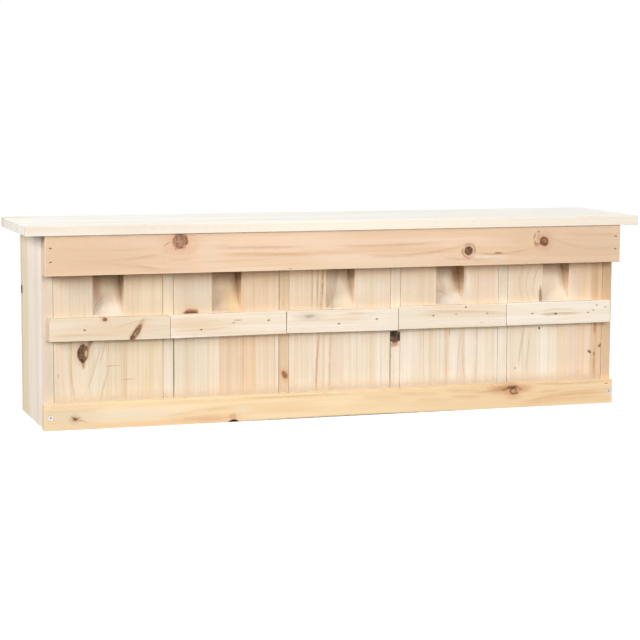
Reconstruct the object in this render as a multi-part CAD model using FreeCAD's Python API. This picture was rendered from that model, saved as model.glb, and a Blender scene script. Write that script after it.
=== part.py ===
"""Sparrow terrace nest box: five rooms in a row under one flat roof, made of plain softwood boards.

Millimetres. +X runs along the row, to the right as seen from the front, +Y to the back and +Z up.
The origin is the middle of the box's foot. Each room has a loose front panel with a ramped entrance
slot. The panel stands on the floor between two uprights, its top is behind the fascia, its batten
laps the uprights, and the screwed bottom rail keeps its foot in.
"""
import FreeCAD, Part
import math
import os

# Rooms and uprights: two sides and the partitions between the rooms
room_count = 5
room_width = 114.8
upright_thickness = 11.0
upright_depth = 118.0
upright_height = 200.0

# Floor, back and roof
floor_thickness = 11.0
back_thickness = 11.0
roof_thickness = 10.0
roof_end_overhang = 20.0
roof_front_lip = 2.5

# Fascia under the roof, and the rail across the foot, which sits a little to the left
fascia_thickness = 18.5
fascia_height = 41.0
rail_thickness = 10.0
rail_height = 26.5
rail_left_shift = 1.5

# Front panels: the foot is planed to a slant, so that the panel can tilt out over the floor
panel_thickness = 20.0
panel_side_gap = 0.3
panel_top_gap = 4.0
panel_foot_slant = 1.6

# Landing battens, one on each front panel, cut and set by hand: the first is lower than the others,
# and each is a little out of level, by so much from its left end to its right one
batten_thickness = 10.0
batten_bottom = 91.0
batten_heights = (23.6, 24.0, 23.6, 24.5, 24.5)
batten_rises = (-0.8, 0.7, -1.0, -0.7, 0.0)
batten_end_gap = 0.6

# Entrance slots: a hollow ramp starts just over the batten and climbs to a thin sill at the panel's
# inner face, and the slot is open above it
slot_width = 32.0
ramp_start_above_batten = 0.5
ramp_rise = 39.0
ramp_hollow = 4.0
sill_thickness = 1.0

# Two plain holes through the back for wall screws, in the first and the last room
wall_hole_diameter = 6.0
wall_hole_height = 140.0

# Countersunk cross-recess wood screws in the ends of the bottom rail
screw_length = 32.0
screw_shank_diameter = 3.0
screw_tip_length = 4.0
screw_head_diameter = 6.0
screw_head_height = 2.2
screw_head_sink = 0.2
screw_clearance = 0.15
recess_length = 3.4
recess_width = 0.8
recess_depth = 1.4

# Brads of flat wire with T heads: each goes through one board and bites into the next
nail_head_width = 2.2
nail_head_height = 0.7
nail_wire_width = 1.3
nail_wire_thickness = 1.1
nail_tip_length = 2.0
nail_bite = 15.0

# Places of the brads: along each upright from its ends, up the fascia, and on each batten
roof_nail_inset = 24.0
back_nail_inset = 30.0
floor_nail_inset = 30.0
fascia_nail_heights = (14.5, 28.5)
batten_nail_spots = (
    ((-27.0, -0.5),),
    ((-30.0, -4.0), (43.0, 3.0)),
    ((-5.0, -3.0), (38.0, 1.0)),
    ((-23.0, 1.5), (3.5, 2.5), (40.0, 2.5)),
    ((-32.0, 0.5), (35.5, -0.5)),
)

# Overall sizes and the main planes
room_pitch = room_width + upright_thickness
body_width = room_count * room_pitch + upright_thickness
roof_length = body_width + 2 * roof_end_overhang
roof_depth = roof_front_lip + fascia_thickness + upright_depth + back_thickness
back_face = roof_depth / 2
back_inside = back_face - back_thickness
front_plane = back_inside - upright_depth
fascia_front = front_plane - fascia_thickness
rail_front = front_plane - rail_thickness
batten_front = front_plane - batten_thickness
fascia_bottom = upright_height - fascia_height
panel_top = upright_height - panel_top_gap
panel_inside = front_plane + panel_thickness
batten_length = room_pitch - batten_end_gap
ramp_start = batten_bottom + max(batten_heights) + ramp_start_above_batten
sill_top = ramp_start + ramp_rise
body_left = -body_width / 2
body_right = body_width / 2

# The row's direction, and those in which fasteners are driven
ALONG_ROW = FreeCAD.Vector(1, 0, 0)
BACKWARD = FreeCAD.Vector(0, 1, 0)
FORWARD = FreeCAD.Vector(0, -1, 0)
UPWARD = FreeCAD.Vector(0, 0, 1)
DOWNWARD = FreeCAD.Vector(0, 0, -1)


def upright_left(index):
    """Left face of an upright: 0 is the left side, room_count is the right side."""
    return body_left + index * room_pitch


def upright_middle(index):
    return upright_left(index) + upright_thickness / 2


def room_middle(index):
    return upright_left(index) + upright_thickness + room_width / 2


def board(left, right, front, back, bottom, top):
    """A plain board between six planes."""
    corner = FreeCAD.Vector(left, front, bottom)
    return Part.makeBox(right - left, back - front, top - bottom, corner)


def prism_along_x(outline, left, right):
    """A solid from a closed outline of (y, z) points, running along the row."""
    points = [FreeCAD.Vector(left, y, z) for y, z in outline]
    face = Part.Face(Part.makePolygon(points + points[:1]))
    return face.extrude(FreeCAD.Vector(right - left, 0, 0))


def turned_backward(profile, start):
    """A solid of revolution from (radius, depth) points, with its axis from start to the back."""
    points = [start + FreeCAD.Vector(radius, depth, 0) for radius, depth in profile]
    return Part.Face(Part.makePolygon(points + points[:1])).revolve(start, BACKWARD, 360)


def nail(surface_point, direction, board_thickness):
    """A brad driven from a board's surface, its T head level with the wood and lying along the row."""
    head = nail_head_width / 2
    wire = nail_wire_width / 2
    end = board_thickness + nail_bite
    outline = [
        (-head, 0),
        (head, 0),
        (head, nail_head_height),
        (wire, nail_head_height),
        (wire, end - nail_tip_length),
        (0, end),
        (-wire, end - nail_tip_length),
        (-wire, nail_head_height),
        (-head, nail_head_height),
    ]
    thickness = ALONG_ROW.cross(direction) * nail_wire_thickness
    corner = surface_point - thickness / 2
    points = [corner + ALONG_ROW * along + direction * depth for along, depth in outline]
    return Part.Face(Part.makePolygon(points + points[:1])).extrude(thickness)


def screw(surface_point):
    """A countersunk wood screw driven backward, with a cross recess and its head just below the surface."""
    head = screw_head_diameter / 2
    shank = screw_shank_diameter / 2
    profile = [
        (0, screw_head_sink),
        (head, screw_head_sink),
        (shank, screw_head_sink + screw_head_height),
        (shank, screw_length - screw_tip_length),
        (0, screw_length),
    ]
    solid = turned_backward(profile, surface_point)
    recess_bottom = surface_point.y + screw_head_sink + recess_depth
    for across, up in ((recess_length, recess_width), (recess_width, recess_length)):
        solid = solid.cut(board(
            surface_point.x - across / 2,
            surface_point.x + across / 2,
            surface_point.y,
            recess_bottom,
            surface_point.z - up / 2,
            surface_point.z + up / 2,
        ))
    return solid


def screw_hole(surface_point):
    """The countersunk clearance hole for a screw, with room for its whole length."""
    head = screw_head_diameter / 2 + screw_clearance
    shank = screw_shank_diameter / 2 + screw_clearance
    profile = [
        (0, 0),
        (head, 0),
        (head, screw_head_sink),
        (shank, screw_head_sink + screw_head_height),
        (shank, screw_length + screw_clearance),
        (0, screw_length + screw_clearance),
    ]
    return turned_backward(profile, surface_point)


def rail_screw_points():
    height = rail_height / 2
    return [FreeCAD.Vector(upright_middle(index), rail_front, height) for index in (0, room_count)]


def cut_for_screws(solid):
    for point in rail_screw_points():
        solid = solid.cut(screw_hole(point))
    return solid


def make_roof():
    return board(-roof_length / 2, roof_length / 2, -roof_depth / 2, back_face,
                 upright_height, upright_height + roof_thickness)


def make_side(index):
    left = upright_left(index)
    side = board(left, left + upright_thickness, front_plane, back_inside, 0, upright_height)
    return cut_for_screws(side)


def make_partition(index):
    left = upright_left(index)
    return board(left, left + upright_thickness, front_plane, back_inside, floor_thickness, upright_height)


def make_floor():
    return board(body_left + upright_thickness, body_right - upright_thickness,
                 front_plane, back_inside, 0, floor_thickness)


def make_back():
    back = board(body_left, body_right, back_inside, back_face, 0, upright_height)
    for index in (0, room_count - 1):
        start = FreeCAD.Vector(room_middle(index), back_inside, wall_hole_height)
        back = back.cut(Part.makeCylinder(wall_hole_diameter / 2, back_thickness, start, BACKWARD))
    return back


def make_fascia():
    return board(body_left, body_right, fascia_front, front_plane, fascia_bottom, upright_height)


def make_bottom_rail():
    rail = board(body_left - rail_left_shift, body_right - rail_left_shift,
                 rail_front, front_plane, 0, rail_height)
    return cut_for_screws(rail)


def slot_cutter(middle):
    """The air of an entrance slot: a hollow ramp, the sill's top, and an open channel above."""
    left = middle - slot_width / 2
    sill_front = panel_inside - sill_thickness
    foot = FreeCAD.Vector(left, front_plane, ramp_start)
    sill = FreeCAD.Vector(left, sill_front, sill_top)
    slope = sill - foot
    into_wood = FreeCAD.Vector(0, slope.z, -slope.y).normalize()
    hollow_point = (foot + sill) / 2 + into_wood * ramp_hollow
    corners = [
        sill,
        FreeCAD.Vector(left, panel_inside, sill_top),
        FreeCAD.Vector(left, panel_inside, panel_top),
        FreeCAD.Vector(left, front_plane, panel_top),
        foot,
    ]
    edges = [Part.Arc(foot, hollow_point, sill).toShape()]
    edges += [Part.LineSegment(start, end).toShape() for start, end in zip(corners, corners[1:])]
    return Part.Face(Part.Wire(edges)).extrude(FreeCAD.Vector(slot_width, 0, 0))


def make_front_panel(index):
    """A panel with a slanted foot and an entrance slot."""
    middle = room_middle(index)
    half_width = room_width / 2 - panel_side_gap
    outline = [
        (front_plane, floor_thickness),
        (front_plane, panel_top),
        (panel_inside, panel_top),
        (panel_inside, floor_thickness + panel_foot_slant),
    ]
    panel = prism_along_x(outline, middle - half_width, middle + half_width)
    return panel.cut(slot_cutter(middle))


def batten_size(index):
    """A batten's height, and its rise from end to end, which repeat in a longer row."""
    return batten_heights[index % len(batten_heights)], batten_rises[index % len(batten_rises)]


def set_out_of_level(solid, index):
    """Turns a batten, or a brad in it, about the middle of the batten's lower edge."""
    rise = batten_size(index)[1]
    pivot = FreeCAD.Vector(room_middle(index), batten_front, batten_bottom)
    solid.rotate(pivot, FORWARD, math.degrees(math.asin(rise / batten_length)))
    return solid


def make_batten(index):
    left = room_middle(index) - batten_length / 2
    height = batten_size(index)[0]
    batten = board(left, left + batten_length, batten_front, front_plane,
                   batten_bottom, batten_bottom + height)
    return set_out_of_level(batten, index)


def make_batten_nails(index):
    spots = batten_nail_spots[index % len(batten_nail_spots)]
    middle = FreeCAD.Vector(room_middle(index), batten_front, batten_bottom + batten_size(index)[0] / 2)
    return [
        set_out_of_level(nail(middle + FreeCAD.Vector(along, 0, up), BACKWARD, batten_thickness), index)
        for along, up in spots
    ]


def make_fascia_nails():
    return [
        nail(FreeCAD.Vector(upright_middle(index), fascia_front, fascia_bottom + height),
             BACKWARD, fascia_thickness)
        for index in (0, room_count)
        for height in fascia_nail_heights
    ]


def make_roof_nails():
    top = upright_height + roof_thickness
    return [
        nail(FreeCAD.Vector(upright_middle(index), y, top), DOWNWARD, roof_thickness)
        for index in range(room_count + 1)
        for y in (front_plane + roof_nail_inset, back_inside - roof_nail_inset)
    ]


def make_back_nails():
    """Two brads into each upright, and one into the floor's edge behind each room."""
    uprights = [
        nail(FreeCAD.Vector(upright_middle(index), back_face, z), FORWARD, back_thickness)
        for index in range(room_count + 1)
        for z in (back_nail_inset, upright_height - back_nail_inset)
    ]
    floor_edge = [
        nail(FreeCAD.Vector(room_middle(index), back_face, floor_thickness / 2), FORWARD, back_thickness)
        for index in range(room_count)
    ]
    return uprights + floor_edge


def make_floor_nails():
    """Two brads up into each partition."""
    return [
        nail(FreeCAD.Vector(upright_middle(index), y, 0), UPWARD, floor_thickness)
        for index in range(1, room_count)
        for y in (front_plane + floor_nail_inset, back_inside - floor_nail_inset)
    ]


def save(name, solids):
    shape = solids[0] if len(solids) == 1 else Part.makeCompound(solids)
    shape.exportStep(f"parts/{name}.step")


os.makedirs("parts", exist_ok=True)

save("roof", [make_roof()])
save("left_side", [make_side(0)])
save("right_side", [make_side(room_count)])
save("floor", [make_floor()])
save("back", [make_back()])
save("fascia", [make_fascia()])
save("bottom_rail", [make_bottom_rail()])
save("rail_screws", [screw(point) for point in rail_screw_points()])
save("fascia_nails", make_fascia_nails())
save("roof_nails", make_roof_nails())
save("back_nails", make_back_nails())
save("floor_nails", make_floor_nails())

for partition in range(1, room_count):
    save(f"partition_{partition}", [make_partition(partition)])

for room in range(room_count):
    number = room + 1
    save(f"front_panel_{number}", [make_front_panel(room)])
    save(f"batten_{number}", [make_batten(room)])
    save(f"batten_nails_{number}", make_batten_nails(room))
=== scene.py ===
"""Looks of the sparrow terrace nest box: raw softwood with strips, grain and knots, and steel fixings.

Everything is in the part's own frame, in metres. Places on the boards are given in millimetres of that frame.
"""

import math
import random
from dataclasses import dataclass, field
from types import SimpleNamespace

import bmesh
import bpy
from mathutils import Matrix, Vector


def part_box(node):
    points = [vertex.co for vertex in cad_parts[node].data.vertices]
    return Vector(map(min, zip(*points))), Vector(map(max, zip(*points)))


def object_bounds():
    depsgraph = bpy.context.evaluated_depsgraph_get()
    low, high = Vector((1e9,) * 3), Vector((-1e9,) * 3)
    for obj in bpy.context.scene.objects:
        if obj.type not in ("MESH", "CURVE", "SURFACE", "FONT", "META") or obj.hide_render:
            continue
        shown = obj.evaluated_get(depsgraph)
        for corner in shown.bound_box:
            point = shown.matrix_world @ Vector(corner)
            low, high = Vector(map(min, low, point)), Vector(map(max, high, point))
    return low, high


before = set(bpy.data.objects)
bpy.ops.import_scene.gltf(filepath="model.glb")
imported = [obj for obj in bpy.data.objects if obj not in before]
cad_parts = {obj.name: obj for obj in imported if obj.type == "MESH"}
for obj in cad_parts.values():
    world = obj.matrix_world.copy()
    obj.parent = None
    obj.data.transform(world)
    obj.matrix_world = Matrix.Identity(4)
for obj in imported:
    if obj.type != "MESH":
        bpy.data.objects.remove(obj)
cad_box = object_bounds()

MM = 0.001


# Colours

def tone(code):
    """A linear RGBA colour from an sRGB hex code."""
    channels = [int(code[i:i + 2], 16) / 255 for i in (1, 3, 5)]
    linear = [c / 12.92 if c <= 0.04045 else ((c + 0.055) / 1.055) ** 2.4 for c in channels]
    return (*linear, 1.0)


def grey(value):
    return (value, value, value, 1.0)


CHALK = "#F2EDE1"
MILK = "#F3E5D0"
PALE = "#F1DFC7"
CREAM = "#EDD9BE"
SAND = "#E5D3B8"
STRAW = "#E2CCAC"
DRAB = "#DAC7B0"
ROSE = "#F2E3D4"
BLUSH = "#ECD2B8"
PEACH = "#E8CDAD"
APRICOT = "#E1C09F"
CORAL = "#ECCAA9"
GOLD = "#F7D9AD"
AMBER = "#F5CD9E"
TAN = "#E6C49D"

LATE = "#C79C6E"
LATE_PALE = "#D5B78E"
RUST = "#BF8660"
EMBER = "#D9A26A"
END_GRAIN = "#FAF7F4"

KNOT = "#8A5C3C"
KNOT_RED = "#A2725A"
PITCH = "#5E3C26"
BARK = "#43291A"
HALO = "#D8A880"
FLECK = "#C9A06E"
RESIN = "#8E6840"
DUST = "#B9A88E"


# Shader trees

class Field:
    """A value that varies over a surface: a shader socket that can be used in sums as a number is."""

    def __init__(self, tree, socket):
        self.tree = tree
        self.socket = socket

    def __add__(self, other):
        return self.tree.math("ADD", self, other)

    def __radd__(self, other):
        return self.tree.math("ADD", other, self)

    def __sub__(self, other):
        return self.tree.math("SUBTRACT", self, other)

    def __rsub__(self, other):
        return self.tree.math("SUBTRACT", other, self)

    def __mul__(self, other):
        return self.tree.math("MULTIPLY", self, other)

    def __truediv__(self, other):
        return self.tree.math("DIVIDE", self, other)

    def __abs__(self):
        return self.tree.math("ABSOLUTE", self)

    def sway(self, reach):
        """Noise from 0 to 1 made to swing to both sides of zero, so far in all."""
        return (self - 0.5) * reach

    def at_least(self, least):
        """A share from 0 to 1 squeezed to start from some least value."""
        return self * (1.0 - least) + least


class Tree:
    """A shader tree in the making, with short ways to add nodes to it."""

    def __init__(self, nodes):
        self.nodes = nodes.nodes
        self.links = nodes.links

    def node(self, kind, **settings):
        made = self.nodes.new("ShaderNode" + kind)
        for key, value in settings.items():
            setattr(made, key, value)
        return made

    def feed(self, socket, value):
        """Links a field to a socket, or sets the socket's own number or colour. Text is a colour's code."""
        if isinstance(value, Field):
            self.links.new(value.socket, socket)
        else:
            socket.default_value = tone(value) if isinstance(value, str) else value

    def math(self, operation, first, second=0.0):
        made = self.node("Math", operation=operation)
        self.feed(made.inputs[0], first)
        self.feed(made.inputs[1], second)
        return Field(self, made.outputs[0])

    def away(self, first, second):
        """How far off a place is that lies so far off each way."""
        return self.math("SQRT", first * first + second * second)

    def split(self, socket):
        """The three components of a vector."""
        made = self.node("SeparateXYZ")
        self.links.new(socket, made.inputs[0])
        return [Field(self, output) for output in made.outputs]

    def noise(self, x, y, z, detail=2.0, roughness=0.5):
        """Smooth noise from 0 to 1, one blob for each unit of x, y and z."""
        place = self.node("CombineXYZ")
        for socket, value in zip(place.inputs, (x, y, z)):
            self.feed(socket, value)
        made = self.node("TexNoise")
        self.links.new(place.outputs[0], made.inputs["Vector"])
        made.inputs["Scale"].default_value = 1.0
        made.inputs["Detail"].default_value = detail
        made.inputs["Roughness"].default_value = roughness
        return Field(self, made.outputs[0])

    def smooth(self, value, low, high):
        """0 below low, 1 above high, and a soft step between them."""
        made = self.node("MapRange", interpolation_type="SMOOTHSTEP")
        self.feed(made.inputs["Value"], value)
        self.feed(made.inputs["From Min"], low)
        self.feed(made.inputs["From Max"], high)
        return Field(self, made.outputs["Result"])

    def fade(self, value, low, high):
        """1 below low, 0 above high, and a soft step between them."""
        return 1.0 - self.smooth(value, low, high)

    def ramp(self, value, stops, interpolation="LINEAR"):
        """A colour from (position, RGBA) stops."""
        made = self.node("ValToRGB")
        made.color_ramp.interpolation = interpolation
        elements = made.color_ramp.elements
        while len(elements) > 1:
            elements.remove(elements[-1])
        elements[0].position = stops[0][0]
        elements[0].color = stops[0][1]
        for position, colour in stops[1:]:
            elements.new(position).color = colour
        self.feed(made.inputs[0], value)
        return Field(self, made.outputs["Color"])

    def mix(self, share, under, over, mode="MIX"):
        made = self.node("Mix", data_type="RGBA", blend_type=mode)
        self.feed(made.inputs["Factor"], share)
        self.feed(made.inputs[6], under)
        self.feed(made.inputs[7], over)
        return Field(self, made.outputs[2])

    def tint(self, under, colour):
        return self.mix(1.0, under, colour, "MULTIPLY")

    def bump(self, height, distance):
        made = self.node("Bump")
        made.inputs["Distance"].default_value = distance
        self.feed(made.inputs["Height"], height)
        return Field(self, made.outputs["Normal"])

    def use(self, layer, **inputs):
        """Adds a layer with these inputs, and gives its results by name."""
        made = self.node("Group", node_tree=layer.group)
        for name, value in inputs.items():
            self.feed(made.inputs[name], value)
        return SimpleNamespace(**{output.name: Field(self, output) for output in made.outputs})


class Surface(Tree):
    """A material in the making."""

    def __init__(self, name):
        self.material = bpy.data.materials.new(name)
        self.material.use_nodes = True
        super().__init__(self.material.node_tree)
        self.shader = self.nodes["Principled BSDF"]
        coordinates = self.node("TexCoord")
        self.position = coordinates.outputs["Object"]
        self.normal = coordinates.outputs["Normal"]

    def set(self, name, value):
        """Links or sets one of the shader's own sockets."""
        self.feed(self.shader.inputs[name], value)


class Layer(Tree):
    """A shader group: one layer of wood, made once and laid on many boards."""

    def __init__(self, name, numbers, colours):
        self.group = bpy.data.node_groups.new(name, "ShaderNodeTree")
        for kind, names in (("Float", numbers), ("Color", colours)):
            for socket in names.split():
                self.group.interface.new_socket(socket, in_out="INPUT", socket_type="NodeSocket" + kind)
        super().__init__(self.group)
        sockets = self.nodes.new("NodeGroupInput").outputs
        self.given = SimpleNamespace(**{s.name: Field(self, s) for s in sockets if s.name})

    def give(self, **results):
        """Sets what the layer gives back: colour is a colour, and the rest are numbers."""
        for name in results:
            kind = "NodeSocketColor" if name == "colour" else "NodeSocketFloat"
            self.group.interface.new_socket(name, in_out="OUTPUT", socket_type=kind)
        end = self.nodes.new("NodeGroupOutput")
        for name, value in results.items():
            self.feed(end.inputs[name], value)
        return self


# Layers of wood

LATEWOOD = [(0.0, grey(0.10)), (0.45, grey(0.0)), (0.80, grey(0.55)), (0.93, grey(1.0)), (1.0, grey(0.10))]
STREAK_TINT = [(0.25, grey(0.93)), (0.42, grey(0.985)), (0.6, grey(1.015)), (0.8, grey(1.04))]
DEEPER = (1.02, 1.01, 0.98, 1.0)
PALER = (1.09, 1.15, 1.25, 1.0)
GLUE_LINE = (0.88, 0.80, 0.70, 1.0)
SPOT = "along across at_along at_across cosine sine half_length half_width"

# Blob sizes of the noises, in mm along the grain, across it and through the board
SLOW = (260, 90, 60)
QUICK = (70, 12, 12)
BAND = (500, 6, 9)
PATCH = (110, 16, 16)
STREAK = (120, 1.9, 14)
FIBRE = (34, 0.55, 7)
WAVER = (6, 4, 30)
GRIT = 2.2


def blobs(places, sizes):
    """Places in units of a noise's blobs."""
    return [place / size for place, size in zip(places, sizes)]


def from_spot(layer):
    """Distances from a knot or mark, along and across it, as shares of its half size."""
    g = layer.given
    along, across = g.along - g.at_along, g.across - g.at_across
    lengthwise = along * g.cosine + across * g.sine
    sideways = across * g.cosine - along * g.sine
    return lengthwise / g.half_length, sideways / g.half_width


def bend_layer():
    """The grain bends round a knot, and the rings rise to it."""
    fall, push, lift = 0.22, 0.7, 1.1
    layer = Layer("bend", SPOT + " bent lifted", "")
    g = layer.given
    lengthwise, sideways = from_spot(layer)
    near = layer.math("EXPONENT", (lengthwise * lengthwise + sideways * sideways) * -fall)
    bent = g.bent - sideways * near * g.half_width * push
    return layer.give(bent=bent, lifted=g.lifted - near * g.half_width * lift)


def seam_layer():
    """The thin line of glue between two strips."""
    core, edge, strength = 0.1, 0.6, 0.3
    layer = Layer("seam", "across at", "under")
    g = layer.given
    cover = layer.fade(abs(g.across - g.at), core, edge) * strength
    return layer.give(colour=layer.mix(cover, g.under, layer.tint(g.under, GLUE_LINE)))


def grain_layer():
    """Rings round the tree's heart, bands and patches of deeper wood, streaks and fine fibres."""
    wobble, drift, curl = 2.2, 14.0, 1.2
    year, year_spread, strip_step = 7, 1.6, 9
    band_share, streak_share, streak_least = 0.6, 0.7, 0.15
    plain_rings, lined_rings = 0.4, 0.7
    deep, lined_at, shown_at = (0.36, 0.64), (0.3, 0.62), (0.3, 0.7)
    numbers = "along across through bent lifted strip seed side_of depth_of ring figure contrast"
    layer = Layer("grain", numbers, "base late")
    g = layer.given
    grown = (g.along, g.bent, g.lifted)
    sawn = (g.along, g.across, g.through)
    slow = layer.noise(*blobs(grown, SLOW), detail=1.0)
    quick = layer.noise(*blobs(grown, QUICK))
    side = g.bent + quick.sway(wobble) - g.side_of
    depth = g.lifted + slow.sway(g.figure) - g.depth_of
    radius = layer.away(side, depth)
    years = layer.noise(radius / year, g.strip * strip_step, g.seed, detail=1.0)
    late = layer.ramp(layer.math("FRACT", radius / g.ring + years * year_spread), LATEWOOD)
    band = layer.noise(*blobs(grown, BAND))
    patch = layer.noise(*blobs(sawn, PATCH))
    flowing = (g.along, g.bent + slow.sway(drift) + quick.sway(curl), g.through)
    streak = layer.noise(*blobs(flowing, STREAK))
    fibre = layer.noise(*blobs(flowing, FIBRE), roughness=0.6)
    deepness = layer.smooth(band * band_share + patch * (1.0 - band_share), *deep)
    colour = layer.mix(deepness, layer.tint(g.base, PALER), layer.tint(g.base, DEEPER))
    lined = layer.smooth(patch, *lined_at)
    shown = late * g.contrast * layer.smooth(streak, *shown_at) * (lined * lined_rings + plain_rings)
    colour = layer.mix(shown, colour, g.late)
    streaked = layer.ramp(streak * streak_share + fibre * (1.0 - streak_share), STREAK_TINT)
    colour = layer.mix(lined.at_least(streak_least), colour, streaked, "MULTIPLY")
    along, across, through = blobs(sawn, WAVER)
    waver = layer.noise(along, across, through + g.seed, detail=3.0)
    return layer.give(colour=colour, ring=late, streak=streak, fibre=fibre, waver=waver)


def vein_layer():
    """A line of late wood on a parabola, sharp on one side and broken along its way."""
    wander, tail, waver_share, least = 1.6, 0.3, 0.5, 0.4
    soft_side, sharp_side, whole = (-1.3, 0.1), (0.1, 0.6), (0.5, 0.85)
    layer = Layer("vein", "along across waver streak start span foot rise curve width strength", "under over")
    g = layer.given
    run = (g.along - g.start) / g.span
    line = (run * g.curve + (g.rise - g.curve)) * run + g.foot
    off = (g.across - line + g.waver.sway(wander)) / g.width
    ends = layer.smooth(run, 0.0, tail) * layer.fade(run, 1.0 - tail, 1.0)
    broken = layer.smooth(g.streak + g.waver * waver_share, *whole).at_least(least)
    body = layer.smooth(off, *soft_side) * layer.fade(off, *sharp_side)
    return layer.give(colour=layer.mix(body * ends * broken * g.strength, g.under, g.over))


def mark_layer():
    """A streak, dot or stain."""
    wander = 0.8
    layer = Layer("mark", SPOT + " waver softness strength", "under over")
    g = layer.given
    lengthwise, sideways = from_spot(layer)
    away = layer.away(lengthwise, sideways) + g.waver.sway(wander)
    cover = layer.fade(away, 1.0 - g.softness, 1.0 + g.softness) * g.strength
    return layer.give(colour=layer.mix(cover, g.under, g.over))


def knot_layer():
    """A stained halo, a broken collar, and a mottled core with a torn rim of bark."""
    off_zero, wavy, lobed, gritty = 0.02, 0.5, 0.55, 0.35
    collar_at, ring_count, ring_lobes, turns = 1.6, 2.2, 1.3, 1.5
    core_cover, rim_cover, halo_from = 0.95, 0.8, 0.8
    halo_least, halo_grit, collar_grit, mottle_rings, mottle_grit = 0.3, 0.6, 0.4, 0.35, 0.9
    collar_line, collar_whole = (0.08, 0.4), (0.5, 0.8)
    mottled, specked = (0.36, 0.78), (0.36, 0.5)
    rim_in, rim_out, rim_whole = (0.62, 0.9), (0.92, 1.2), (0.42, 0.62)
    layer = Layer("knot", SPOT + " waver reach collar soft fleck", "under core rim halo light")
    g = layer.given
    lengthwise, sideways = from_spot(layer)
    away = layer.away(lengthwise, sideways) + off_zero
    about = layer.noise(lengthwise / away * turns, sideways / away * turns, g.at_along, detail=3.0)
    grit = layer.noise(g.along / GRIT, g.across / GRIT, g.at_across, detail=3.0, roughness=0.7)
    distance = away + g.waver.sway(wavy) + about.sway(lobed) + grit.sway(gritty)
    halo = layer.fade(distance, halo_from, g.reach) * (grit * halo_grit + halo_least)
    colour = layer.mix(halo, g.under, g.halo)
    broken = layer.smooth(about + grit * collar_grit, *collar_whole)
    collar = layer.fade(abs(distance - collar_at), *collar_line) * broken * g.collar
    colour = layer.mix(collar, colour, g.core)
    rings = layer.ramp(layer.math("FRACT", distance * ring_count + about * ring_lobes), LATEWOOD)
    inner = layer.mix(layer.smooth(rings * mottle_rings + grit * mottle_grit, *mottled), g.core, g.rim)
    inner = layer.mix(layer.fade(grit, *specked) * g.fleck, inner, g.light)
    core = layer.fade(distance, 1.0 - g.soft, 1.0 + g.soft)
    colour = layer.mix(core * core_cover, colour, inner)
    rim = layer.smooth(distance, *rim_in) * layer.fade(distance, *rim_out)
    torn = layer.smooth(about, *rim_whole)
    return layer.give(colour=layer.mix(rim * torn * rim_cover, colour, g.rim), core=core)


def edge_layer():
    """Handled edges are rubbed a little paler, end grain is greyer and sawn sides are browner."""
    rubbed_share, end_share = 0.4, 0.7
    rubbed_within, rubbed_at, squarely = (0.3, 1.4), (0.35, 0.65), (0.6, 0.95)
    corners = " ".join(f"{axis} {axis}_low {axis}_high" for axis in "xyz")
    layer = Layer("edge", corners + " facing_end facing_side waver", "under side")
    g = layer.given
    near = [layer.math("MINIMUM", place - low, high - place) for place, low, high in
            ((g.x, g.x_low, g.x_high), (g.y, g.y_low, g.y_high), (g.z, g.z_low, g.z_high))]
    closer, further = (layer.math(pick, near[0], near[1]) for pick in ("MINIMUM", "MAXIMUM"))
    edge = layer.math("MAXIMUM", closer, layer.math("MINIMUM", further, near[2]))
    rubbed = layer.fade(edge, *rubbed_within) * layer.smooth(g.waver, *rubbed_at)
    colour = layer.mix(rubbed * rubbed_share, g.under, layer.tint(g.under, PALER))
    end = layer.smooth(abs(g.facing_end), *squarely)
    colour = layer.mix(end * end_share, colour, END_GRAIN, "MULTIPLY")
    sawn = layer.smooth(abs(g.facing_side), *squarely)
    return layer.give(colour=layer.mix(sawn, colour, layer.tint(colour, g.side)), end=end)


BEND, SEAM, GRAIN, VEIN, MARK, KNOT_WOOD, EDGE = (make() for make in (
    bend_layer, seam_layer, grain_layer, vein_layer, mark_layer, knot_layer, edge_layer))


# How a board is described

@dataclass
class Spot:
    """A place on a board along and across the grain, its size and its slope, in mm and degrees."""
    along: float
    across: float
    length: float
    width: float
    turn: float = field(default=0.0, kw_only=True)

    def place(self):
        angle = math.radians(self.turn)
        return dict(at_along=self.along, at_across=self.across, cosine=math.cos(angle), sine=math.sin(angle),
                    half_length=self.length / 2, half_width=self.width / 2)


@dataclass
class Knot(Spot):
    """A branch cut through by the board.

    The halo is the stained wood round it, out to so many times the knot's own size. The collar is
    how strongly one dark ring shows in that halo, and the fleck how strongly light specks show in the core.
    """
    core: str = KNOT
    rim: str = BARK
    halo: str = HALO
    light: str = FLECK
    reach: float = 2.0
    collar: float = 0.0
    soft: float = 0.16
    fleck: float = 0.5

    def inputs(self):
        return dict(self.place(), reach=self.reach, collar=self.collar, soft=self.soft, fleck=self.fleck,
                    core=self.core, rim=self.rim, halo=self.halo, light=self.light)


@dataclass
class Mark(Spot):
    """A streak, dot or stain on the board."""
    colour: str = RESIN
    strength: float = 0.7
    softness: float = 0.5

    def inputs(self):
        return dict(self.place(), softness=self.softness, strength=self.strength, over=self.colour)


@dataclass
class Vein:
    """One line of late wood that stands out: it runs through three places (along, across), in mm."""
    start: tuple
    middle: tuple
    end: tuple
    width: float = 2.0
    colour: str = LATE
    strength: float = 0.45

    def inputs(self):
        span, rise = self.end[0] - self.start[0], self.end[1] - self.start[1]
        share = (self.middle[0] - self.start[0]) / span
        curve = ((self.middle[1] - self.start[1]) / share - rise) / (share - 1.0)
        return dict(start=self.start[0], span=span, foot=self.start[1], rise=rise, curve=curve,
                    width=self.width, strength=self.strength, over=self.colour)


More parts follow.
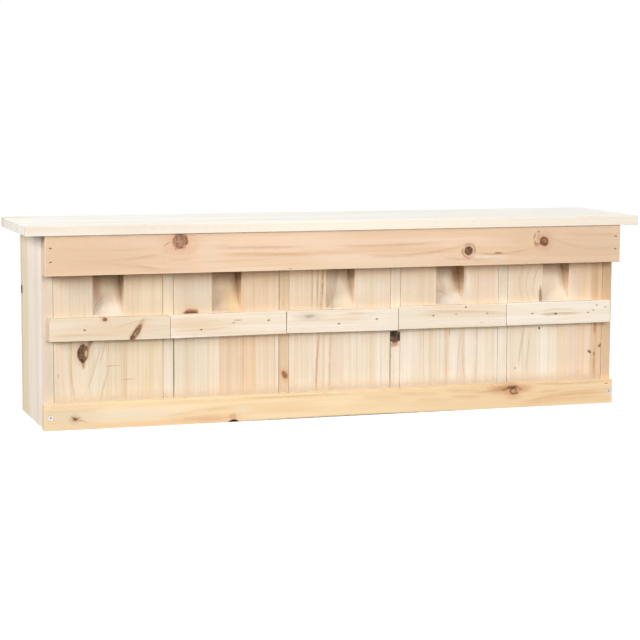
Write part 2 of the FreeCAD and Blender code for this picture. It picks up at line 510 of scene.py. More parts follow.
@dataclass
class Wood:
    """How a board was cut: its axes are along the grain, across it and through the board.

    Strips are (upper edge in mm, colour), from the low side to the high side. The heart is where the
    tree's middle lies, in mm across and through from the board's own middle. The side is the shade of
    the sawn sides, lines are so many fine streaks from end to end, and details lie over the knots.
    """
    axes: str
    strips: list
    heart: tuple = (0.0, 60.0)
    ring: float = 3.2
    figure: float = 10.0
    contrast: float = 0.3
    late: str = LATE
    side: tuple = grey(1.0)
    lines: int = 0
    knots: list = field(default_factory=list)
    veins: list = field(default_factory=list)
    marks: list = field(default_factory=list)
    details: list = field(default_factory=list)
    seed: int = 1


# Wood

STRIP_SHIFT = 400.0
SEED_SHIFT = 37.0
SEED_STEP = 1.7
HEARTS_APART = 60.0
PAST_END = 60.0
LINE_SEED = 100
LINE_LEAN = 1.5
LINE_WIDTHS = (0.8, 2.4)
LINE_STRENGTHS = (0.06, 0.3)
ROUGHNESS = 0.74
SPECULAR = 0.28
RELIEF = 0.25 * MM
SHEEN = SimpleNamespace(ring=0.10, fibre=0.12, knot=0.06)
RISE = SimpleNamespace(ring=0.30, fibre=0.55, end=0.8, knot=0.35)


class Board(Surface):
    """A board's material: the wood between two corners, in mm, painted layer by layer."""

    def __init__(self, name, wood, low, high):
        super().__init__(name)
        self.wood = wood
        self.place = dict(zip("xyz", [value / MM for value in self.split(self.position)]))
        self.low, self.high = dict(zip("xyz", low)), dict(zip("xyz", high))
        self.along, self.across, self.through = (self.place[axis] for axis in wood.axes)
        self.saw_strips()
        self.grow()
        for vein in self.streaks() + wood.veins:
            self.lay(VEIN, vein.inputs(), streak=self.grain.streak)
        for mark in wood.marks:
            self.lay(MARK, mark.inputs())
        self.cores = 0.0
        for knot in wood.knots:
            self.cores = self.lay(KNOT_WOOD, knot.inputs()).core + self.cores
        for mark in wood.details:
            self.lay(MARK, mark.inputs())
        self.finish()

    def middle(self, axis):
        return (self.low[axis] + self.high[axis]) / 2

    def saw_strips(self):
        """The glued strips: each has a colour and a stretch of grain of its own."""
        wood, picks = self.wood, random.Random(self.wood.seed)
        low, high = (side[wood.axes[1]] for side in (self.low, self.high))
        share = (self.across - low) / (high - low)
        seams = [edge for edge, _ in wood.strips[:-1]]
        starts = [0.0] + [(seam - low) / (high - low) for seam in seams]
        colours = [tone(code) for _, code in wood.strips]
        self.base = self.ramp(share, list(zip(starts, colours)), "CONSTANT")
        self.strip = self.ramp(share, [(start, grey(picks.random())) for start in starts], "CONSTANT")
        for seam in seams:
            self.base = self.use(SEAM, across=self.across, at=seam, under=self.base).colour

    def grow(self):
        """The grain, bent round the knots."""
        wood, bent, lifted = self.wood, self.across, self.through
        for knot in wood.knots:
            bend = self.use(BEND, along=self.along, across=self.across, bent=bent, lifted=lifted,
                            **knot.place())
            bent, lifted = bend.bent, bend.lifted
        apart = self.strip.sway(HEARTS_APART) * (len(wood.strips) > 1)
        self.grain = self.use(
            GRAIN, along=self.along + self.strip * STRIP_SHIFT + wood.seed * SEED_SHIFT,
            across=self.across, through=self.through, bent=bent, lifted=lifted,
            strip=self.strip, seed=wood.seed * SEED_STEP,
            side_of=apart + (self.middle(wood.axes[1]) + wood.heart[0]),
            depth_of=self.middle(wood.axes[2]) + wood.heart[1],
            ring=wood.ring, figure=wood.figure, contrast=wood.contrast, base=self.base, late=wood.late)
        self.colour = self.grain.colour

    def streaks(self):
        """Fine lines of late wood that run from one end of the board to the other."""
        wood, picks = self.wood, random.Random(self.wood.seed + LINE_SEED)
        (start, end), (low, high) = ((self.low[axis], self.high[axis]) for axis in wood.axes[:2])
        made = []
        for _ in range(wood.lines):
            across = picks.uniform(low, high)
            lean = picks.gauss(0, LINE_LEAN)
            bow = picks.gauss(0, LINE_LEAN)
            places = ((start - PAST_END, across - lean), ((start + end) / 2, across + bow),
                      (end + PAST_END, across + lean))
            width = picks.uniform(*LINE_WIDTHS)
            made.append(Vein(*places, width, wood.late, picks.uniform(*LINE_STRENGTHS)))
        return made

    def lay(self, layer, spot, **inputs):
        """Lays a vein, mark or knot over what is there."""
        laid = self.use(layer, along=self.along, across=self.across, waver=self.grain.waver,
                        under=self.colour, **spot, **inputs)
        self.colour = laid.colour
        return laid

    def finish(self):
        """The worn edges, and the sheen and relief of the grain."""
        ends, sides = self.wood.axes[:2]
        facing = dict(zip("xyz", self.split(self.normal)))
        corners = dict(self.place)
        for axis in "xyz":
            corners[axis + "_low"] = self.low[axis]
            corners[axis + "_high"] = self.high[axis]
        edge = self.use(EDGE, facing_end=facing[ends], facing_side=facing[sides],
                        waver=self.grain.waver, under=self.colour, side=self.wood.side, **corners)
        ring, fibre = self.grain.ring, self.grain.fibre
        roughness = ROUGHNESS - ring * SHEEN.ring + fibre.sway(SHEEN.fibre) - self.cores * SHEEN.knot
        height = ring * RISE.ring + fibre * RISE.fibre + edge.end * fibre * RISE.end - self.cores * RISE.knot
        self.set("Base Color", edge.colour)
        self.set("Roughness", roughness)
        self.set("Specular IOR Level", SPECULAR)
        self.set("Normal", self.bump(height, RELIEF))


# Steel

RECESS = "#D2C8C0"
RIM = "#D8CBBB"


def steel(name, colour, roughness, metallic, heads=()):
    """Dulled steel. Heads are (x, z, radius) of screw heads in mm, darker in the recess and at the rim."""
    grain_size, dull_size = (0.8, 0.8, 0.8), (3.0, 3.0, 3.0)
    dulled, ragged, rim_cover, spread, relief = 0.85, 0.2, 0.6, 0.25, 0.05 * MM
    dull_at, recess, rim_in, rim_out = (0.35, 0.75), (0.25, 0.5), (0.8, 0.95), (1.0, 1.2)
    s = Surface(name)
    x, y, z = [value / MM for value in s.split(s.position)]
    grain = s.noise(*blobs((x, y, z), grain_size), detail=3.0)
    dull = s.noise(*blobs((x, y, z), dull_size))
    darker = (*(channel * dulled for channel in tone(colour)[:3]), 1.0)
    painted = s.mix(s.smooth(dull, *dull_at), colour, darker)
    for head_x, head_z, radius in heads:
        side, up = x - head_x, z - head_z
        away = s.away(side, up) / radius + grain.sway(ragged)
        painted = s.mix(s.fade(away, *recess), painted, RECESS)
        painted = s.mix(s.smooth(away, *rim_in) * s.fade(away, *rim_out) * rim_cover, painted, RIM)
    s.set("Base Color", painted)
    s.set("Metallic", metallic)
    s.set("Roughness", roughness + grain.sway(spread))
    s.set("Normal", s.bump(grain, relief))
    return s.material


# Boards of the box

SLOT_WIDTH = 32.0
RAIL_TOP = 27.0
MID_HEIGHT = 100.0
FRONT = -54.0
WIDE = 2000.0
EASED = 0.4 * MM
EASED_RAIL = 0.15 * MM
JOIN_WITHIN = 0.01 * MM
SHARP = math.radians(60)
SAWN = (0.97, 0.93, 0.88, 1.0)
# Painted shade in the narrow gaps between upright boards
GAP_SHADE = "#5E4A38"
# Painted shade, laid on boards just above their battens and just above the rail
PAINTED_SHADE = "#D3BDA0"
# Painted shade at the feet of the boards behind the rail
FOOT_PAINTED_SHADE = "#BEB2A6"
# Painted shade at the top of the slots, and painted tones of the fascia's shadow on left and right panels
SLOT_SHADE = "#A26C3C"
SHADE_LEFT = "#CFA77C"
SHADE_RIGHT = "#F2CDA0"


def stain(along, across, length, width, colour, strength=0.6):
    """A broad, very soft patch of another tone."""
    return Mark(along, across, length, width, colour, strength, softness=0.9)


def front_edge(colour):
    """Another tone on the front edge of a side board."""
    return Mark(MID_HEIGHT, FRONT, 800, 7, colour, 0.85, softness=0.4)


def joint(across, low, high, strength):
    """The dark line of an open joint between two upright boards: painted shade in the narrow gap."""
    return Mark((low + high) / 2, across, high - low, 1.3, GAP_SHADE, strength, softness=0.3)


def panel(strips, contrast=0.18, **cut):
    """The wood of a front panel: upright strips, with sawn walls in its slot."""
    return Wood("zxy", strips, heart=(60, 10), contrast=contrast, side=SAWN, **cut)


# Places are along the grain and across it, sizes are length and width, all in mm
boards = {
    "roof": Wood("xyz", [(-71, "#E8D9C5"), (75, CHALK)], heart=(20, -45), contrast=0.12,
                 late=LATE_PALE, seed=3, marks=[
        stain(-335, 68, 60, 26, BLUSH),
        stain(320, 10, 360, 200, "#FAF6EE", 0.8),
        stain(190, -73, 620, 10, "#F8EBD8", 1),
        stain(-10, -73, 280, 10, "#FFF3E2", 0.8),
        Mark(-226, 10, 40, 1.4, LATE_PALE, 0.4),
    ]),
    "left_side": Wood("zyx", [(64, "#F0E0CE")], heart=(-70, 10), contrast=0.08,
                      late=LATE_PALE, seed=4, marks=[
        front_edge(DRAB),
        Mark(100, 48, 800, 36, "#ECDCBA", 0.9),
        stain(100, -20, 500, 16, "#F0E2D2", 0.8),
    ]),
    "right_side": Wood("zyx", [(64, CREAM)], heart=(30, 14), contrast=0.25, seed=5, knots=[
        Knot(58, 22, 11, 9, core="#8F6240", rim=PITCH, collar=0.3),
    ], marks=[
        front_edge("#E1BC94"),
        stain(146, -54, 60, 9, "#D2AC84"),
        stain(120, 30, 200, 30, PEACH, 0.4),
    ]),
    "partition_1": Wood("zxy", [(-183, SAND)], heart=(-40, 60), seed=6, marks=[
        stain(40, -188, 90, 20, ROSE),
        joint(-183.4, 18, 93, 0.45),
    ]),
    "partition_2": Wood("zxy", [(-57, "#E3C5A2")], heart=(-40, 60), seed=7, knots=[
        Knot(46, -62.1, 9, 5.5, turn=-35, core="#A8744A", rim="#7A5034", halo="#DBA67E",
             light="#C99A6C", reach=3.2, soft=0.35),
    ], veins=[
        Vein((166, -63.6), (138, -63.2), (108, -63.8), 2.2, RESIN, 0.45),
    ], marks=[
        stain(150, -63, 70, 16, "#DCC4A0", 0.8),
        joint(-68.2, 18, 93, 0.2),
        joint(-68.2, 112, 164, 0.35),
    ]),
    "partition_3": Wood("zxy", [(69, PALE)], heart=(-40, 60), seed=8, knots=[
        Knot(82.4, 62.6, 12.5, 17, core="#6B5433", rim="#35271A", light="#8F7A4A",
             reach=1.3),
    ], marks=[
        stain(140, 63, 60, 20, SAND),
        joint(57.6, 18, 93, 0.35),
        Mark(74.4, 62, 6, 9, "#B8775C", softness=0.6),
    ], details=[
        Mark(85.6, 60.4, 6, 6.5, "#2B2115", 0.8),
        Mark(81, 66.5, 8, 2.6, "#2B2115", 0.6),
        Mark(76.6, 63, 3.4, 6, "#8C4F3C"),
    ]),
    "partition_4": Wood("zxy", [(194, MILK)], heart=(-40, 60), seed=9, marks=[
        stain(142, 188, 60, 20, STRAW),
        joint(194, 18, 93, 0.2),
        joint(194, 112, 164, 0.2),
    ]),
    "floor": Wood("xyz", [(64, CREAM)], heart=(10, 50), seed=10),
    "back": Wood("xzy", [(200, CREAM)], heart=(10, 50), seed=11, marks=[
        stain(-320, 100, 30, 260, SAND, 0.8),
        Mark(-320, 132.7, 6, 9, "#6B5840", 0.95, softness=0.25),
    ]),
    "fascia": Wood("xzy", [(200, CORAL)], heart=(6, 34), contrast=0.22, late=RUST, seed=12, knots=[
        Knot(-180, 192.6, 16.5, 16, core="#B08468", rim="#8A5D45", halo="#E2B291",
             light="#C69C80", reach=3, soft=0.3, fleck=0.7),
        Knot(139.6, 175.2, 9.5, 9.5, core="#7C5036", light="#B58A62", reach=1.9, collar=0.45),
        Knot(228.2, 183.6, 10.5, 10, core="#8C6040", rim="#5F3D27", light="#AA7C50",
             halo="#D9A27C", reach=3),
    ], veins=[
        Vein((-300, 175.4), (-248, 174.2), (-186, 182.6), 3.2, RUST, 0.65),
        Vein((-312, 168.2), (-252, 170.2), (-184, 159.4), 3.2, RUST, 0.65),
        Vein((-312, 187.4), (-250, 184), (-200, 187.4), 2.6, RUST, 0.45),
        Vein((-300, 180), (-262, 179), (-222, 181), 2.2, RUST, 0.25),
        Vein((-162, 185.8), (-103, 184.4), (-40, 183.6), 3.4, RUST, 0.38),
        Vein((-144, 178.1), (-88, 177), (-26, 174.8), 3.4, RUST, 0.38),
        Vein((-26, 184.4), (50, 183.4), (126, 187.1), 3.2, RUST, 0.35),
        Vein((10, 174.8), (85, 173.5), (138, 182.2), 3, RUST, 0.42),
        Vein((100, 170.4), (138, 166.5), (192, 169.6), 2.4, RUST, 0.42),
        Vein((136, 170.4), (162, 168.8), (192, 168.1), 4, MILK, 0.9),
        Vein((140, 173.4), (185, 172), (226, 179.8), 2.4, RUST, 0.5),
        Vein((230, 190.4), (262, 178.8), (330, 179.1), 2.8, RUST, 0.5),
        Vein((250, 191.4), (290, 190), (330, 189.8), 2.6, RUST, 0.4),
    ], marks=[
        stain(-290, 178, 190, 60, APRICOT, 0.9),
        Mark(-320.6, 178, 2, 80, PALE, 0.5, softness=0.3),
        stain(276, 176, 150, 60, APRICOT, 0.7),
        stain(206, 188, 34, 30, TAN, 0.5),
        stain(20, 162, 200, 16, CREAM, 0.4),
        stain(-150, 182, 26, 40, BLUSH, 0.5),
        Mark(-194, 189.6, 8, 1.6, KNOT, 0.5, turn=32),
        Mark(-185, 184, 2.6, 2.2, PITCH),
        Mark(174, 172.1, 9, 1.8, KNOT, 0.7, softness=0.4),
        Mark(221.4, 194.3, 3.4, 2.4, KNOT_RED),
        Mark(216.8, 189.6, 2.4, 6.5, KNOT_RED, 0.65, turn=-20),
        Mark(218, 181, 2.8, 6.5, KNOT_RED, turn=15),
        Mark(-61.7, 161, 4, 1, KNOT, 0.5),
        Mark(220.9, 180.6, 5, 4, KNOT, 0.6, softness=0.6),
        Mark(222, 188.5, 4, 7, KNOT_RED, 0.3, softness=0.8),
    ], details=[
        Mark(-184, 196, 1.6, 9, "#7C5240", 0.5),
        Mark(-178.5, 197, 1.6, 8, "#7C5240", 0.5),
        Mark(-173.8, 194, 1.8, 9, "#85583F", 0.45, turn=15),
        Mark(-180, 185.2, 11, 1.8, "#85583F", 0.5),
        Mark(231.6, 180.4, 5.6, 2, PITCH, 0.55, turn=45),
        Mark(225, 187, 6, 1.6, PITCH, 0.45, turn=45),
        Mark(229.8, 184, 4, 3.6, "#BF8F5C", 0.5),
    ]),
    "bottom_rail": Wood("xzy", [(26.5, GOLD)], heart=(-8, 30), contrast=0.11, seed=13, knots=[
        Knot(-289.4, 11, 4.6, 3.6, core="#87613E", rim=PITCH, halo="#CDAA80",
             reach=4, soft=0.45),
        Knot(198.5, 18.6, 9.5, 7.6, core="#A9774C", rim=PITCH, light="#D8AC7A",
             halo="#D99E72", reach=3.4, soft=0.25),
    ], veins=[
        Vein((-330, 18.9), (-296, 19.3), (-254, 21.4), 3, LATE, 0.3),
        Vein((-301, 18.6), (-294, 11.5), (-286, 8.6), 1.8, RUST, 0.5),
        Vein((-292, 12.6), (-282, 9.4), (-273, 5.8), 1.8, RUST, 0.5),
        Vein((-206, 7), (-168, 13), (-112, 14.6), 3.4, EMBER, 0.4),
        Vein((-122, 25.3), (-60, 24.4), (16, 25), 2, LATE, 0.4),
        Vein((16, 20.4), (44, 19.1), (72, 18.2), 4, EMBER, 0.25),
        Vein((56, 21.8), (88, 20.6), (120, 19.4), 4, EMBER, 0.4),
        Vein((78, 14.6), (106, 13.4), (134, 12), 4, EMBER, 0.3),
        Vein((112, 22.4), (142, 21), (172, 19.2), 3.8, EMBER, 0.5),
        Vein((120, 16.2), (142, 15.2), (164, 13.8), 3.4, EMBER, 0.45),
        Vein((152, 18.8), (176, 20.4), (198, 23.4), 2.6, KNOT, 0.4),
        Vein((200, 4), (245, 10.2), (322, 11.4), 3.2, "#CC9256", 0.6),
        Vein((214, 7.6), (258, 13.6), (322, 14.8), 3, EMBER, 0.45),
        Vein((196, 1), (246, 6.4), (322, 7.4), 3, EMBER, 0.45),
        Vein((216, 26.8), (262, 24), (318, 26), 2.2, RUST, 0.45),
        Vein((228, 16.2), (242, 16.8), (258, 17), 1.8, RUST, 0.4),
    ], marks=[
        stain(215, 12, 260, 40, AMBER, 0.5),
        stain(-240, 12.8, 110, 11, PALE, 0.8),
        stain(-300, 12, 60, 30, STRAW),
        stain(-200, 2.5, 190, 6, AMBER),
        stain(-148, 5, 60, 6, "#E2AC80"),
        stain(-60, 11.5, 60, 10, AMBER, 0.4),
        stain(-111, 12.8, 16, 6, MILK, 0.45),
        stain(188, 21, 32, 9, "#BF7F52", 0.7),
        stain(211, 21, 18, 7, "#C98F5E", 0.5),
        Mark(-122, 6, 9, 6, "#DCA678", 0.6),
        Mark(311.2, 22, 4.5, 1, KNOT_RED, 0.8, softness=0.3),
        # painted shadow along the rail's lower edge, where it meets the floor
        Mark(5, 0, 260, 1.8, "#5C452E", 0.8, softness=0.4),
        Mark(-121, -0.2, 11, 5, "#260D05", 1, softness=0.15),
    ], details=[
        Mark(-291.4, 12.4, 6, 1.3, KNOT, 0.6, turn=-38),
        Mark(-286.6, 11.8, 5, 1.2, KNOT, 0.45, turn=20),
        Mark(-284, 9.4, 9, 1.2, RUST, 0.5, turn=-18),
        Mark(198.5, 18.4, 5, 3.6, "#E0B888", 0.85),
        Mark(199, 18.6, 2, 1.4, KNOT),
        Mark(196.8, 22.8, 14, 3.4, PITCH, 0.75, turn=4),
        Mark(189, 20.8, 10, 2, KNOT, 0.65, turn=16),
        Mark(206, 20.8, 6, 2.2, KNOT, 0.45, turn=-24),
        Mark(203.4, 16, 3.6, 1.6, PITCH, 0.6, turn=40),
    ]),
    "batten_1": Wood("xzy", [(116, SAND)], heart=(10, 40), seed=14, knots=[
        Knot(-224.8, 98.4, 19, 6, turn=57, core="#9A7C58", rim="#6B4C32", light="#C9A983",
             soft=0.35, fleck=0.6),
        Knot(-257.6, 112.8, 4.6, 3.6, rim=PITCH, reach=3, soft=0.35),
    ], veins=[
        Vein((-252, 102.6), (-235, 107.6), (-204, 112.4), 1.8),
        Vein((-318, 96.3), (-275, 97.5), (-228, 94.2), 2, LATE, 0.35),
    ], marks=[
        stain(-250, 104, 90, 24, PEACH),
        Mark(-219.4, 108.4, 10, 4, "#CFAE8C", turn=52),
        stain(-213, 104, 12, 10, BLUSH, 0.7),
    ], details=[
        Mark(-229.4, 92.6, 6, 4, PITCH, 0.75, turn=57),
        Mark(-226.4, 98.6, 11, 1.4, PITCH, 0.55, turn=57),
        Mark(-222.2, 100.6, 9, 1.2, KNOT, 0.5, turn=57),
    ]),
    "batten_2": Wood("xzy", [(116, PALE)], heart=(30, 30), seed=15, veins=[
        Vein((-190, 106.1), (-160, 106.3), (-130, 109), 2, LATE, 0.3),
        Vein((-190, 98.3), (-155, 99.2), (-110, 102), 2, LATE, 0.3),
    ], marks=[
        stain(-165, 103, 50, 16, PEACH),
        Mark(-116.6, 107.4, 8, 1.4, RESIN, 0.5),
        Mark(-121.4, 104.8, 4, 1.6, RESIN, 0.5),
    ]),
    "batten_3": Wood("xzy", [(116, PALE)], heart=(-30, 30), contrast=0.2, seed=16, veins=[
        Vein((0, 111.2), (20, 110.7), (40, 109.7), 1.4),
    ], marks=[
        stain(-37.8, 108.8, 26, 8, DUST, 0.4),
        Mark(-37.8, 108.8, 10, 3.6, "#97846A", 0.4),
        stain(44, 103, 44, 24, "#F7EAD8", 0.9),
    ]),
    "batten_4": Wood("xzy", [(116, PALE)], heart=(20, 40), contrast=0.2, seed=17, veins=[
        Vein((76, 110.3), (130, 109.2), (194, 105.4), 2.6, LATE, 0.42),
        Vein((82, 114.5), (140, 113.4), (196, 112), 3.8, AMBER, 0.5),
        Vein((78, 106.7), (94, 106.3), (110, 105.8), 1.6),
    ], marks=[
        stain(78, 104, 36, 26, MILK, 0.8),
        Mark(140.6, 113, 2.6, 2.2, KNOT, 0.8),
        Mark(159.3, 95.5, 4.5, 1, RESIN, 0.4),
    ]),
    "batten_5": Wood("xzy", [(116, "#F6E8D4")], heart=(-10, 40), contrast=0.15, seed=18, veins=[
        Vein((226, 105.9), (250, 107.6), (276, 105.9), 1.6, LATE_PALE, 0.5),
        Vein((238, 94), (280, 98), (318, 97.2), 3, GOLD, 0.5),
    ], marks=[
        Mark(257, 102.5, 40, 2.6, "#C8B080", 0.6),
        Mark(240, 102.2, 14, 3.8, DUST, 0.45),
        Mark(247.9, 102.4, 2.8, 2.2, PITCH, 0.9, softness=0.4),
        Mark(293.6, 104.9, 2.2, 1.6, KNOT, 0.8),
        Mark(297.5, 110.6, 3, 2, DUST),
        Mark(308, 108.2, 5, 1.2, DUST),
    ]),
    "front_panel_1": panel([(-249.6, SAND), (-233, STRAW), (-216.4, "#E6CFAE"),
                            (-190, "#E6D0AE")], contrast=0.3, seed=21, lines=16, knots=[
        Knot(77.3, -278.9, 19, 11.5, turn=4, core="#8F6240", light="#A9804E"),
    ], veins=[
        Vein((80, -293), (50, -290.3), (22, -285.4), 2.2, LATE, 0.5),
        Vein((94, -258), (55, -268.6), (22, -282), 2.2, LATE, 0.5),
        Vein((70, -249.2), (43.6, -256.5), (20, -262.4)),
        Vein((94, -255), (78, -257.6), (60, -263.6), 1.8),
        Vein((132, -276.3), (122, -276.6), (110, -276.9), 1.8),
        Vein((121, -266.5), (129, -259.5), (138, -250), 1.8, RESIN, 0.7),
        Vein((168, -266.8), (140, -267), (110, -267.2), 2.4, "#A8784E", 0.7),
    ], marks=[
        # painted shade just above the batten
        stain(120, -252, 20, 150, PAINTED_SHADE, 0.45),
        stain(142, -246, 44, 22, PALE, 0.5),
        stain(90, -303, 260, 16, BLUSH, 0.4),
        # darker upper panel: a tone that is partly painted shade from the fascia
        stain(146, -286, 60, 40, DRAB, 0.8),
        stain(42, -280, 60, 12, CREAM, 0.8),
        stain(147, -261, 40, 9, "#A87852"),
        stain(120, -250, 18, 26, ROSE, 0.9),
        Mark(86.8, -271.6, 13, 4.6, "#9C6E52", 0.75, turn=23),
        Mark(65.6, -278.4, 8, 3.4, "#8C6448"),
        Mark(63.2, -247.6, 0.9, 16.3, LATE, 0.6, softness=0.3),
        Mark(48.5, -231.2, 0.9, 14.7, LATE, 0.6, softness=0.3),
        Mark(54.4, -304.5, 4.5, 1.2, RESIN, 0.4),
    ], details=[
        Mark(77, -275.4, 7, 2.8, "#DCC08C", 0.85),
        Mark(79, -279.4, 9, 1.5, BARK, 0.6),
        Mark(76.5, -282.4, 12, 2, PITCH, 0.6),
        Mark(69.4, -278.8, 5, 4.6, PITCH, 0.75),
    ]),
    "front_panel_2": panel([(-161.3, SAND), (-145.6, SAND), (-134.7, CREAM), (-107.6, PEACH), (-95.7, PEACH),
                            (-79.5, PEACH), (-60, CREAM)], seed=22, lines=14, veins=[
        Vein((166, -107.3), (90, -107.4), (14, -107.8), 2.6, "#DFA87A", 0.55),
    ], details=[
        stain(112, -164.6, 18, 22, "#D9B496", 0.7),
        Mark(115, -164, 9.5, 17, "#B08060", 0.9, softness=0.2),
        Mark(114.6, -164.6, 6, 16, "#6C432B", 0.9, softness=0.25),
    ], marks=[
        # painted shade just above the batten
        stain(120, -126, 20, 150, PAINTED_SHADE, 0.5),
        stain(142, -124, 44, 34, PALE, 0.5),
        # darker upper panel: a tone that is partly painted shade from the fascia
        stain(142, -80, 60, 40, APRICOT, 0.4),
        stain(142, -165, 60, 40, DRAB, 0.4),
        stain(126, -118, 30, 18, "#E8CB9C", 0.8),
        joint(-182.7, 18, 93, 0.45),
        stain(140, -136, 44, 12, "#D0B296"),
        stain(50, -101, 100, 10, AMBER, 0.4),
    ]),
    "front_panel_3": panel([(-43.7, CREAM), (-32.1, CREAM), (-17.5, CREAM), (10, CREAM), (41.4, PALE),
                            (60, PALE)], seed=23, lines=16, veins=[
        Vein((176, -18.4), (135, -20.2), (100, -22.8), 2.8, "#A87C44", 1),
        Vein((100, -22.2), (60, -25.8), (14, -26.4), 2.4, RUST, 0.65),
        Vein((100, -9), (66, -10.8), (14, -11.5), 2, LATE, 0.5),
        Vein((131, -3.8), (120, -7.4), (108, -11.8), 2, RESIN, 0.9),
        Vein((172, 5.6), (144, -0.4), (120, -7.6), 7, RESIN, 0.55),
        Vein((176, -30.9), (145, -31.3), (106, -31.7), 2.4, "#B08450", 0.8),
        Vein((176, -24.6), (145, -25.2), (106, -25.9), 2.2, "#B08450", 0.8),
    ], marks=[
        # painted shade just above the batten
        stain(120, 0, 20, 150, PAINTED_SHADE, 0.55),
        stain(142, 6, 44, 32, "#F6E6D0", 0.5),
        # darker upper panel: tones that are partly painted shade from the fascia
        stain(142, 40, 60, 40, STRAW, 0.35),
        stain(142, -36, 60, 36, STRAW, 0.35),
        joint(56.9, 18, 93, 0.5),
        stain(60, -4, 90, 10, BLUSH),
        stain(135, -11, 40, 8, "#DCC0A8"),
        stain(120, 4, 16, 20, PALE, 0.8),
    ]),
    "front_panel_4": panel([(91.2, PALE), (95.5, CREAM), (112, PALE), (163.3, PALE), (190, PALE)],
                           seed=24, lines=16, veins=[
        Vein((98, 142), (58, 136.6), (14, 135.6), 2, RUST, 0.4),
        Vein((98, 143.6), (58, 142), (14, 148.4), 1.8, RUST, 0.35),
        Vein((134, 112), (126.5, 124), (118, 143), 2.4, LATE, 0.7),
    ], marks=[
        Mark(48, 140.4, 80, 8.5, PEACH, 0.5, softness=0.4),
        # painted shade just above the batten
        stain(120, 126, 20, 150, PAINTED_SHADE, 0.5),
        # darker upper panel: a tone that is partly painted shade from the fascia
        stain(142, 88, 60, 44, STRAW, 0.45),
        joint(182.7, 18, 93, 0.15),
        # darker upper panel: a tone that is partly painted shade from the fascia
        stain(142, 168, 60, 34, BLUSH),
        stain(149, 138, 30, 9, "#A8743C", 0.85),
        stain(140, 115, 40, 9, "#DCC2AC", 0.5),
        stain(120, 127, 12, 26, ROSE, 0.9),
        Mark(84.8, 125.9, 7, 1.4, RESIN, 0.4),
    ]),
    "front_panel_5": panel([(208.2, PALE), (233, PALE), (255.1, "#F3E2C8"), (266.7, "#F1DEC3"),
                            (279, "#ECD2B5"), (295.4, "#EED1B0"), (303.6, "#E8C49D"),
                            (312, "#E8C4A2")], seed=25, lines=12, veins=[
        Vein((162, 216), (137, 208.6), (112, 215.6)),
        Vein((160, 224.5), (138, 216.6), (110, 223.6)),
        Vein((160, 235.8), (142, 226.4), (112, 229.4)),
        Vein((98, 217.6), (68, 211.6), (40, 208)),
        Vein((86, 223), (62, 219.8), (30, 218), 1.8, LATE, 0.4),
        Vein((64, 300), (40, 300.6), (16, 301.4), 3, RUST, 0.6),
    ], marks=[
        # painted shade just above the batten
        stain(120, 215, 20, 60, PAINTED_SHADE, 0.4),
        stain(142, 299.6, 60, 8, "#CFAC88", 0.7),
        # darker upper panel: tones that are partly painted shade from the fascia
        stain(142, 212, 60, 40, STRAW, 0.4),
        stain(144, 286, 60, 24, APRICOT, 0.4),
        stain(138, 254, 60, 26, "#FBEAD3", 0.9),
        stain(60, 260, 90, 10, AMBER, 0.35),
        Mark(121.5, 233.4, 20, 3.6, "#957753", 0.85, softness=0.4),
        Mark(57.3, 294.4, 5.4, 2.8, PITCH, 0.85, softness=0.45, turn=124),
        Mark(63.7, 307.1, 5.6, 3, KNOT, 0.8, softness=0.45, turn=52),
        Mark(54.6, 300.3, 4.6, 2, KNOT, softness=0.45),
        Mark(86, 300.7, 16, 3.8, RUST, 0.6),
        Mark(85.7, 232.5, 2.8, 2.6, BARK, 0.9, softness=0.4),
        Mark(42.1, 204.3, 2.8, 2, DUST, 0.8, softness=0.4),
    ]),
}


def shade_foot(wood):
    """Painted shade at the foot of a board behind the rail, up to just above the rail."""
    wood.marks += [
        Mark(10, 0, 30, WIDE, FOOT_PAINTED_SHADE, 0.45, softness=0.2),
        stain(RAIL_TOP, 0, 14, WIDE, PAINTED_SHADE),
        stain(RAIL_TOP, 0, 7, WIDE, FOOT_PAINTED_SHADE, 0.38),
    ]


def shade_slot(wood, low, high):
    """Painted shade: browner at the top of a panel's slot and of the slot's right wall, and warmer under the
    fascia.
    """
    middle = (low.x + high.x) / 2
    wall = middle + SLOT_WIDTH / 2
    wood.marks += [
        Mark(156, middle, 15, 28, SLOT_SHADE, 0.4, softness=0.8),
        # painted shade at the top of the slot's right wall, under the fascia
        Mark(168, wall - 0.9, 40, 2.4, PITCH, 0.7, softness=0.4),
        stain(157, 0, 18, WIDE, SHADE_LEFT if high.x < 0 else SHADE_RIGHT, 0.35),
    ]


def dress_boards():
    """Gives each board its wood."""
    for name, wood in boards.items():
        low, high = (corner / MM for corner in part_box(name))
        if name.startswith(("front_panel", "partition")):
            shade_foot(wood)
        if name.startswith("front_panel"):
            shade_slot(wood, low, high)
        board = Board("wood_" + name, wood, low, high)
        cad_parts[name].material_slots[0].material = board.material


def join_corners(node):
    """Joins points that lie on each other, such as at the point of a screw."""
    weld = node.modifiers.new("Join corners", "WELD")
    weld.merge_threshold = JOIN_WITHIN


def ease_edges(node, width, segments=2):
    """Rounds a board's edges as a plane and sandpaper leave them."""
    join_corners(node)
    bevel = node.modifiers.new("Eased edges", "BEVEL")
    bevel.width = width
    bevel.segments = segments
    bevel.limit_method = "ANGLE"
    bevel.angle_limit = SHARP
    bevel.loop_slide = False
    bevel.use_clamp_overlap = False
    bevel.harden_normals = True


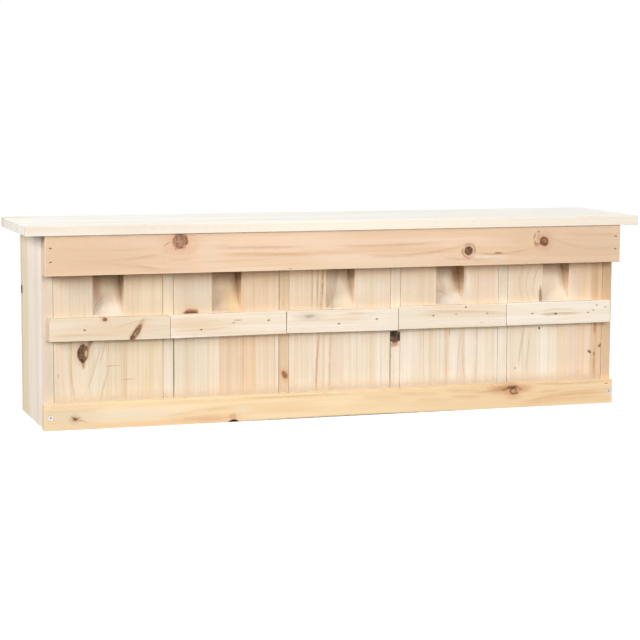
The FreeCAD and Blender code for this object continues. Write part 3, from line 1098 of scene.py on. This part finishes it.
def dress_steel():
    """Gives the brads and the screws their steel."""
    brads = steel("steel_brads", "#BDB0A2", roughness=0.45, metallic=0.6)
    low, high = (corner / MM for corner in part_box("rail_screws"))
    radius, middle = (high.z - low.z) / 2, (high.z + low.z) / 2
    heads = [(low.x + radius, middle, radius), (high.x - radius, middle, radius)]
    screws = steel("steel_screws", "#FFF8F2", roughness=0.5, metallic=0.1, heads=heads)
    for name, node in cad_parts.items():
        if name.endswith("screws"):
            node.material_slots[0].material = screws
            join_corners(node)
        elif "nails" in name:
            node.material_slots[0].material = brads


dress_boards()
dress_steel()
for name in boards:
    ease_edges(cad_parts[name], EASED_RAIL if name == "bottom_rail" else EASED)


# Stage, light and camera

WHITE = grey(1.0)


def show_white(tree, socket, lighting, seen):
    """Sets a strength that is one value for the light given off and another where the camera sees it."""
    path = tree.nodes.new("ShaderNodeLightPath")
    choose = tree.nodes.new("ShaderNodeMapRange")
    choose.inputs["To Min"].default_value = lighting
    choose.inputs["To Max"].default_value = seen
    tree.links.new(path.outputs["Is Camera Ray"], choose.inputs["Value"])
    tree.links.new(choose.outputs["Result"], socket)


def add_floor():
    """A round of dull floor that the camera sees nearly as bright as the white behind it."""
    reach, below, sides = 1.6, -0.2 * MM, 64
    shade, glow = grey(0.22), 0.9
    shape = bmesh.new()
    place = Matrix.Translation((0, 0, below))
    bmesh.ops.create_circle(shape, cap_ends=True, segments=sides, radius=reach, matrix=place)
    mesh = bpy.data.meshes.new("floor_disc")
    shape.to_mesh(mesh)
    shape.free()
    disc = bpy.data.objects.new("floor_disc", mesh)
    bpy.context.scene.collection.objects.link(disc)
    s = Surface("stage_floor")
    s.set("Base Color", shade)
    s.set("Roughness", 1.0)
    s.set("Specular IOR Level", 0.0)
    s.set("Emission Color", WHITE)
    show_white(s, s.shader.inputs["Emission Strength"], 0.0, glow)
    mesh.materials.append(s.material)


def add_softbox(name, place, width, height, watts):
    """A rectangle of light that faces the middle of the box."""
    light = bpy.data.lights.new(name, "AREA")
    light.shape = "RECTANGLE"
    light.size = width
    light.size_y = height
    light.energy = watts
    box = bpy.data.objects.new(name, light)
    box.location = place
    middle = (cad_box[0] + cad_box[1]) / 2
    box.rotation_euler = (middle - Vector(place)).to_track_quat("-Z", "Y").to_euler()
    box.visible_camera = False
    bpy.context.scene.collection.objects.link(box)


def add_world():
    """A white room that gives only a little light of its own."""
    fill, seen = 0.07, 1.0
    world = bpy.data.worlds.new("studio")
    world.use_nodes = True
    background = world.node_tree.nodes["Background"]
    background.inputs["Color"].default_value = WHITE
    show_white(world.node_tree, background.inputs["Strength"], fill, seen)
    bpy.context.scene.world = world


def add_camera():
    """The photograph's camera: turned to the right, looking a little down, through a long lens.

    Its angles are in radians and its place in metres.
    """
    yaw, pitch, roll = 0.31887, 0.11968, -0.00466
    place = (-0.66951, -2.01290, 0.35136)
    focal_length, sensor_width = 109.75, 36.0
    forward = Vector((math.sin(yaw) * math.cos(pitch), math.cos(yaw) * math.cos(pitch), -math.sin(pitch)))
    level = Vector((math.cos(yaw), -math.sin(yaw), 0.0))
    down = forward.cross(level)
    right = math.cos(roll) * level + math.sin(roll) * down
    up = math.sin(roll) * level - math.cos(roll) * down
    camera = bpy.data.objects.new("camera", bpy.data.cameras.new("camera"))
    camera.data.lens = focal_length
    camera.data.sensor_width = sensor_width
    turn = Matrix((right, up, -forward)).transposed().to_4x4()
    camera.matrix_world = Matrix.Translation(place) @ turn
    bpy.context.scene.collection.objects.link(camera)
    bpy.context.scene.camera = camera


add_floor()
add_world()
add_softbox("softbox_top", (0.1, 0.3, 2.4), width=2.4, height=1.6, watts=31.0)
add_softbox("softbox_left", (-2.4, -1.1, 1.2), width=1.3, height=1.3, watts=71.0)
add_softbox("softbox_front", (0.5, -2.75, 1.0), width=1.6, height=1.3, watts=52.0)
add_softbox("softbox_back", (2.2, 1.9, 0.3), width=1.6, height=0.5, watts=46.0)
add_camera()
bpy.context.scene.view_settings.view_transform = "Standard"
